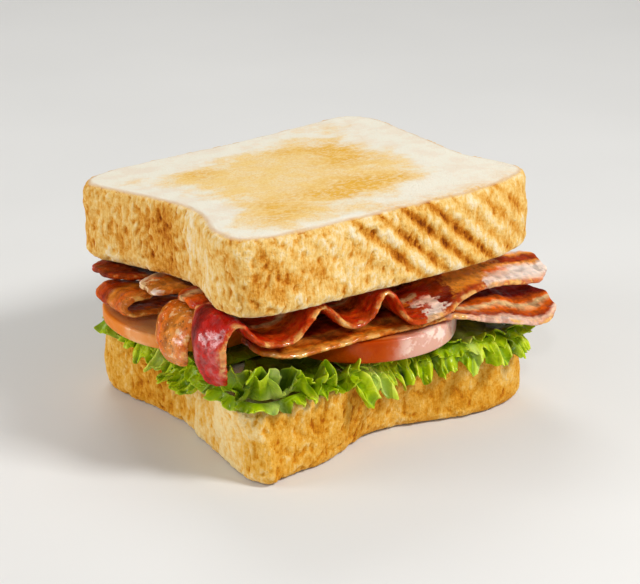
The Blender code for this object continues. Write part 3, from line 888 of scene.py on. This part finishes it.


# Painted highlight: where pale glare is painted on each slice's rim.
RIGHT_GLARE = [((0, -54, 35), 3.5, 1.0), ((5, -54, 35), 5.0, 1.2), ((12, -53, 35), 6.0, 1.2),
               ((19, -50, 35), 7.0, 1.2), ((26, -44, 35), 8.0, 1.0)]
LEFT_GLARE = [((-66, 4, 35), 5.0, 0.7), ((-56, 8, 36), 8.0, 0.5)]
keep_value(right_tomato, "glare_and_wet", spots_value(points_of(right_tomato), RIGHT_GLARE))
keep_value(left_tomato, "glare_and_wet", spots_value(points_of(left_tomato), LEFT_GLARE))
# The last colour of each finish is its painted glare.
ripe_finish = tomato_material("ripe_tomato", rgb(176, 58, 0), rgb(216, 96, 8), rgb(232, 124, 36),
                              rgb(255, 226, 208))
pale_finish = tomato_material("orange_tomato", rgb(230, 122, 20), rgb(244, 152, 44),
                              rgb(250, 184, 96), rgb(252, 206, 150))
finish_piece(right_tomato, "tomato", ripe_finish, "tomato_right")
finish_piece(left_tomato, "tomato", pale_finish, "tomato_left")
print("tomato dressed")

# %% [markdown]
# ## Bacon
# A rasher is a ribbon with bands of lean and fat along its length, blistered and
# crimped by the pan and shining with grease. The solid has its folds. The copy is
# subdivided and blistered, and five numbers are kept for the finish: how far across the
# rasher a point is and how far along, whether it is at an edge, how wet it is and how
# far it is raised.

# %% Dress a rasher
ACROSS_BINS = 60


def across_rasher(points):
    """Place across the rasher, 0 at the edge nearest the crown and 1 at the other."""
    x = points[:, 0]
    edges = np.linspace(x.min(), x.max() + 0.001, ACROSS_BINS + 1)
    which = np.clip(np.digitize(x, edges) - 1, 0, ACROSS_BINS - 1)
    near, far = np.full(ACROSS_BINS, np.nan), np.full(ACROSS_BINS, np.nan)
    for k in np.unique(which):
        inside_bin = points[which == k, 1]
        near[k], far[k] = inside_bin.min(), inside_bin.max()
    good = ~np.isnan(near)
    middle = 0.5 * (edges[:-1] + edges[1:])
    near = np.interp(x, middle[good], near[good])
    far = np.interp(x, middle[good], far[good])
    return np.clip((points[:, 1] - near) / np.maximum(far - near, 1.0), 0, 1)


def noise_at(points, size, seed):
    return np.array([noise.noise(upright_place(p, size, size, seed)) for p in points])


RASHER_LEVELS = 3
WARP = 0.4
BLISTER_SIZE, BLISTER_HEIGHT = 2.1, 0.28
BEAD_SIZE, BEAD_HEIGHT = 1.25, 0.22
WET = [((-64, -46, 46), 10.0, 1.0), ((-64, -22, 38), 6.0, 0.8), ((-44, -54, 42), 7.0, 0.7),
       ((-20, -56, 46), 8.0, 0.7), ((30, -54, 44), 12.0, 0.6), ((58, -48, 50), 10.0, 0.7),
       ((-58, 8, 48), 9.0, 0.6)]


def dress_rasher(node, name, seed):
    """Blisters on the lean, beads of fat along both edges, a slow warp over all."""
    piece = subdivided_copy(node, name, RASHER_LEVELS)
    points = points_of(piece)
    across = across_rasher(points)
    warp = np.array([noise.noise_vector(Vector((p[0] / 6.0, p[1] / 4.5, p[2] / 6.0 + seed)))
                     for p in points])
    points = points + warp * WARP
    move_points(piece, points)
    edge = ease((np.abs(across - 0.5) - 0.40) / 0.09)
    raised = (BLISTER_HEIGHT * noise_at(points, BLISTER_SIZE, seed) * (1 - edge)
              + BEAD_HEIGHT * noise_at(points, BEAD_SIZE, seed + 5) * edge)
    points = points + normals_of(piece) * raised[:, None]
    move_points(piece, points)
    keep_value(piece, "across", across)
    keep_value(piece, "along", (points[:, 0] - points[:, 0].min()) / np.ptp(points[:, 0]))
    keep_value(piece, "edge", edge)
    keep_value(piece, "wet", spots_value(points, WET))
    keep_value(piece, "raised", height_over(piece, points, 10))
    return piece


rashers = {}
for number, node in enumerate(("bacon_front", "bacon_right", "bacon_crisp", "bacon_upper",
                               "bacon_middle", "bacon_back", "bacon_low")):
    rashers[node] = dress_rasher(node, node + "_rasher", 2.0 + 3 * number)


# %% [markdown]
# Each rasher has its own bands, so the finish takes a list of them: where across the
# rasher a band lies and its colour. The bands wander along the length, the lean is
# darker in patches where the pan has caught it, and the grease gives a broken gloss.
# Some rashers change along their length, so their finish takes changes too: where along
# the rasher a change starts, where it is full, and the bands from there on.

# %% Bacon material
BURNT, BLACKENED, HOT_LEAN = rgb(96, 16, 0), rgb(48, 8, 0), rgb(240, 120, 26)
RIM_FAT, RIM_SEARED = rgb(246, 186, 96), rgb(206, 96, 14)
PAINTED_GLINT, PIT, FRECKLES = rgb(255, 208, 150), rgb(52, 10, 0), 0.75


def bacon_material(name, bands, seed, char, changes, freckled):
    material, tree, shader = new_material(name)
    place = object_place(tree)
    slow = add(tree, "ShaderNodeMapping",
               {"Vector": place, "Scale": (0.4, 0.1, 0.4), "Location": (seed, 0, 0)})
    wander = add(tree, "ShaderNodeTexNoise",
                 {"Vector": slow.outputs[0], "Scale": 120.0, "Detail": 2.0})
    streaky = add(tree, "ShaderNodeMapping",
                  {"Vector": place, "Scale": (0.4, 1.0, 1.0), "Location": (seed, 0, 0)})
    patches, specks = mottle(tree, streaky.outputs[0], 120.0, 480.0, 0.16)
    blotches, grit = mottle(tree, place, 210.0, 1100.0, 0.14)
    across = maths(tree, "ADD", attribute(tree, "across"),
                   centred(tree, wander.outputs["Fac"], 0.36))
    across = maths(tree, "ADD", across, centred(tree, specks, 0.05), True)
    colour = ramp(tree, across, bands)
    colour = mix(tree, maths(tree, "MULTIPLY", patches, char), colour, BURNT)
    colour = mix(tree, maths(tree, "MULTIPLY", specks, 0.25), colour, HOT_LEAN)
    along = maths(tree, "ADD", attribute(tree, "along"), centred(tree, blotches, 0.05))
    for start, full, other_bands in changes:
        changed = band(tree, along, start, full)
        colour = mix(tree, changed, colour, ramp(tree, across, other_bands))
    spots = maths(tree, "MULTIPLY", band(tree, blotches, 0.72, 1.0), 0.6 * char + 0.2)
    colour = mix(tree, spots, colour, BLACKENED)
    golden = mix(tree, band(tree, blotches, 0.1, 0.7), RIM_FAT, RIM_SEARED)
    crisped = band(tree, maths(tree, "ADD", patches, centred(tree, blotches, 0.8)),
                   0.1, 0.9, 0.95, 0.30)
    colour = mix(tree, maths(tree, "MULTIPLY", attribute(tree, "edge"), crisped), colour, golden)
    if freckled:
        # Painted highlight: pale pink glints on the crisp rasher, beside dark pits of char.
        glint_spots, pitted = mottle(tree, place, 520.0, 640.0, 0.34)
        colour = mix(tree, band(tree, glint_spots, 0.66, 0.78, 0.0, FRECKLES), colour, PAINTED_GLINT)
        colour = mix(tree, band(tree, pitted, 0.72, 0.84, 0.0, FRECKLES), colour, PIT)
    # Painted shade: the colour is darkened on low points and lightened on raised ones, by height
    # over the surroundings.
    raised = band(tree, attribute(tree, "raised"), -0.35, 0.30, 0.4, 1.25)
    colour = mix(tree, 1.0, colour, raised, "MULTIPLY")
    grease = maths(tree, "ADD", band(tree, blotches, 0.05, 0.4, 0.6, 0.0),
                   attribute(tree, "wet"), True)
    grease = maths(tree, "MULTIPLY", grease, band(tree, specks, 0.1, 0.8, 1.0, 0.3))
    feed(tree, shader, {"Base Color": colour, "Specular IOR Level": 0.08,
                        "Roughness": band(tree, blotches, 0.0, 1.0, 0.34, 0.5),
                        "Coat Weight": grease, "Coat Roughness": 0.12, "Coat IOR": 1.9,
                        "Subsurface Weight": 0.08, "Subsurface Radius": (1.0, 0.3, 0.1),
                        "Subsurface Scale": 0.8 * MM})
    bump(tree, shader, blend_of(tree, specks, 0.8, grit, 0.2), 0.4, 0.7)
    return material


# %% Bands of each rasher
FAT, PINK, PALE = rgb(250, 212, 150), rgb(250, 200, 170), rgb(252, 230, 214)
GOLD, AMBER, CARAMEL = rgb(232, 140, 34), rgb(236, 104, 4), rgb(248, 158, 60)
LEAN, DEEP, CHERRY, RUST = rgb(190, 40, 0), rgb(112, 12, 0), rgb(200, 20, 0), rgb(168, 54, 0)
rasher_bands = {
    "bacon_front": [(0.0, CHERRY), (0.34, LEAN), (0.46, DEEP), (0.58, AMBER), (0.66, FAT),
                    (0.74, LEAN), (1.0, RUST)],
    "bacon_right": [(0.0, CARAMEL), (0.1, GOLD), (0.2, AMBER), (0.42, CARAMEL), (0.52, LEAN),
                    (0.66, DEEP), (1.0, RUST)],
    "bacon_crisp": [(0.0, AMBER), (0.3, CARAMEL), (0.45, GOLD), (0.75, AMBER), (0.9, GOLD),
                    (1.0, FAT)],
    "bacon_upper": [(0.0, FAT), (0.12, CHERRY), (0.5, AMBER), (0.7, FAT), (0.82, LEAN),
                    (1.0, GOLD)],
    "bacon_middle": [(0.0, GOLD), (0.2, CARAMEL), (0.5, GOLD), (0.62, AMBER), (0.85, FAT),
                     (1.0, PINK)],
    "bacon_back": [(0.0, LEAN), (0.3, DEEP), (0.5, RUST), (0.65, DEEP), (0.8, LEAN), (1.0, DEEP)],
    "bacon_low": [(0.0, CARAMEL), (0.2, AMBER), (0.5, GOLD), (0.6, RUST), (0.75, LEAN),
                  (1.0, AMBER)],
}
cherry_pleat = [(0.0, CHERRY), (0.6, CHERRY), (0.8, DEEP), (1.0, CHERRY)]
fat_patch = [(0.0, FAT), (0.12, PALE), (0.5, PINK), (0.6, LEAN), (1.0, LEAN)]
dark_patch = [(0.0, FAT), (0.06, RUST), (0.3, DEEP), (0.7, RUST), (1.0, AMBER)]
amber_stretch = [(0.0, RUST), (0.1, RUST), (0.22, GOLD), (0.6, CARAMEL), (1.0, AMBER)]
fatty_edge = [(0.0, FAT), (0.08, PALE), (0.32, PINK), (0.4, AMBER), (0.5, CARAMEL), (1.0, GOLD)]
pale_end = [(0.0, PINK), (0.12, PALE), (0.38, PALE), (0.48, CARAMEL), (0.56, RUST), (0.7, RUST),
            (0.8, CARAMEL), (0.9, PALE), (1.0, PALE)]
striped_end = [(0.0, PALE), (0.1, PINK), (0.17, RUST), (0.3, AMBER), (0.42, FAT), (0.5, AMBER),
               (0.64, DEEP), (1.0, LEAN)]
changes_of = {
    "bacon_front": [(0.16, 0.09, cherry_pleat), (0.555, 0.575, fat_patch),
                    (0.595, 0.615, dark_patch), (0.65, 0.69, amber_stretch),
                    (0.76, 0.79, fatty_edge), (0.83, 0.88, pale_end)],
    "bacon_right": [(0.56, 0.62, striped_end)],
    "bacon_middle": [(0.035, 0.012, [(0.0, PALE), (0.6, FAT), (1.0, PALE)])],
}
char_of = {"bacon_front": 0.25, "bacon_crisp": 0.2, "bacon_middle": 0.2, "bacon_low": 0.3,
           "bacon_right": 0.35}
USUAL_CHAR = 0.5
for number, (node, bands) in enumerate(rasher_bands.items()):
    finish = bacon_material(node + "_finish", bands, 0.13 * number, char_of.get(node, USUAL_CHAR),
                            changes_of.get(node, ()), node == "bacon_crisp")
    finish_piece(rashers[node], "bacon", finish, node)
print("bacon dressed")

# %% [markdown]
# ## Studio
# A pale floor and a bright sky keep the food fresh. The key light stands in front and to
# the right, softer ones at the left and behind, and a small one in front and to the left
# makes the grease sparkle. The camera stands where the photograph's did: its direction,
# distance and lens were worked out from the slices.

# %% Floor
bpy.ops.object.select_all(action="DESELECT")
bpy.ops.mesh.primitive_plane_add(size=6.0, location=(0, 0, -0.0002))
floor = bpy.context.object
floor.name = "floor"
floor_finish, floor_tree, floor_shader = new_material("pale_floor")
floor_noise = add(floor_tree, "ShaderNodeTexNoise",
                  {"Vector": object_place(floor_tree), "Scale": 9.0})
floor_tint = ramp(floor_tree, floor_noise.outputs["Fac"],
                  [(0.0, rgb(226, 225, 222)), (1.0, rgb(234, 233, 230))])
feed(floor_tree, floor_shader, {"Base Color": floor_tint, "Roughness": 0.9})
floor.data.materials.append(floor_finish)
print("floor laid")


# %% Lights
def soft_light(name, place, aim_height, size, power):
    """A square lamp that points at a height over the middle: metres and watts."""
    lamp = bpy.data.lights.new(name, "AREA")
    lamp.energy, lamp.size = power, size
    holder = bpy.data.objects.new(name, lamp)
    holder.location = place
    aim = Vector((0, 0, aim_height)) - Vector(place)
    holder.rotation_euler = aim.to_track_quat("-Z", "Y").to_euler()
    bpy.context.scene.collection.objects.link(holder)


soft_light("key", (0.35, -0.62, 0.72), 0.05, 0.22, 6.5)
soft_light("left", (-0.84, 0.3, 0.38), 0.045, 0.45, 2.5)
soft_light("low left", (-0.82, 0.42, 0.17), 0.045, 0.3, 1.0)
soft_light("back", (0.2, 0.6, 0.8), 0.05, 0.4, 2.2)
soft_light("sparkle", (-0.5, -0.75, 0.62), 0.05, 0.07, 1.3)
world = bpy.data.worlds.new("studio")
bpy.context.scene.world = world
world.use_nodes = True
feed(world.node_tree, world.node_tree.nodes["Background"],
     {"Color": (1.0, 0.99, 0.97, 1), "Strength": 0.28})
print("lights:", [lamp.name for lamp in bpy.data.lights])

# %% [markdown]
# The camera's angles are in degrees, its places in metres, and its lens and film width
# in millimetres.

# %% Camera
CAMERA_AZIMUTH = -32.23
CAMERA_ELEVATION = 22.13
CAMERA_ROLL = -0.69
CAMERA_DISTANCE = 0.7168
AIM_HEIGHT = 0.0364
AIM_RIGHT = 0.00135
LENS = 120.2
FILM_WIDTH = 36

azimuth, elevation, roll = (radians(v) for v in (CAMERA_AZIMUTH, CAMERA_ELEVATION, CAMERA_ROLL))
back = Vector((sin(azimuth) * cos(elevation), -cos(azimuth) * cos(elevation), sin(elevation)))
right = Vector((cos(azimuth), sin(azimuth), 0))
up = back.cross(right)
rolled_right = right * cos(roll) + up * sin(roll)
rolled_up = up * cos(roll) - right * sin(roll)
camera_data = bpy.data.cameras.new("camera")
camera_data.lens = LENS
camera_data.sensor_width = FILM_WIDTH
camera = bpy.data.objects.new("camera", camera_data)
stand = Matrix((rolled_right, rolled_up, back)).transposed().to_4x4()
stand.translation = Vector((0, 0, AIM_HEIGHT)) + right * AIM_RIGHT + back * CAMERA_DISTANCE
camera.matrix_world = stand
bpy.context.scene.collection.objects.link(camera)
bpy.context.scene.camera = camera
bpy.context.scene.view_settings.view_transform = "Standard"
print("camera at", [round(v, 3) for v in stand.translation])
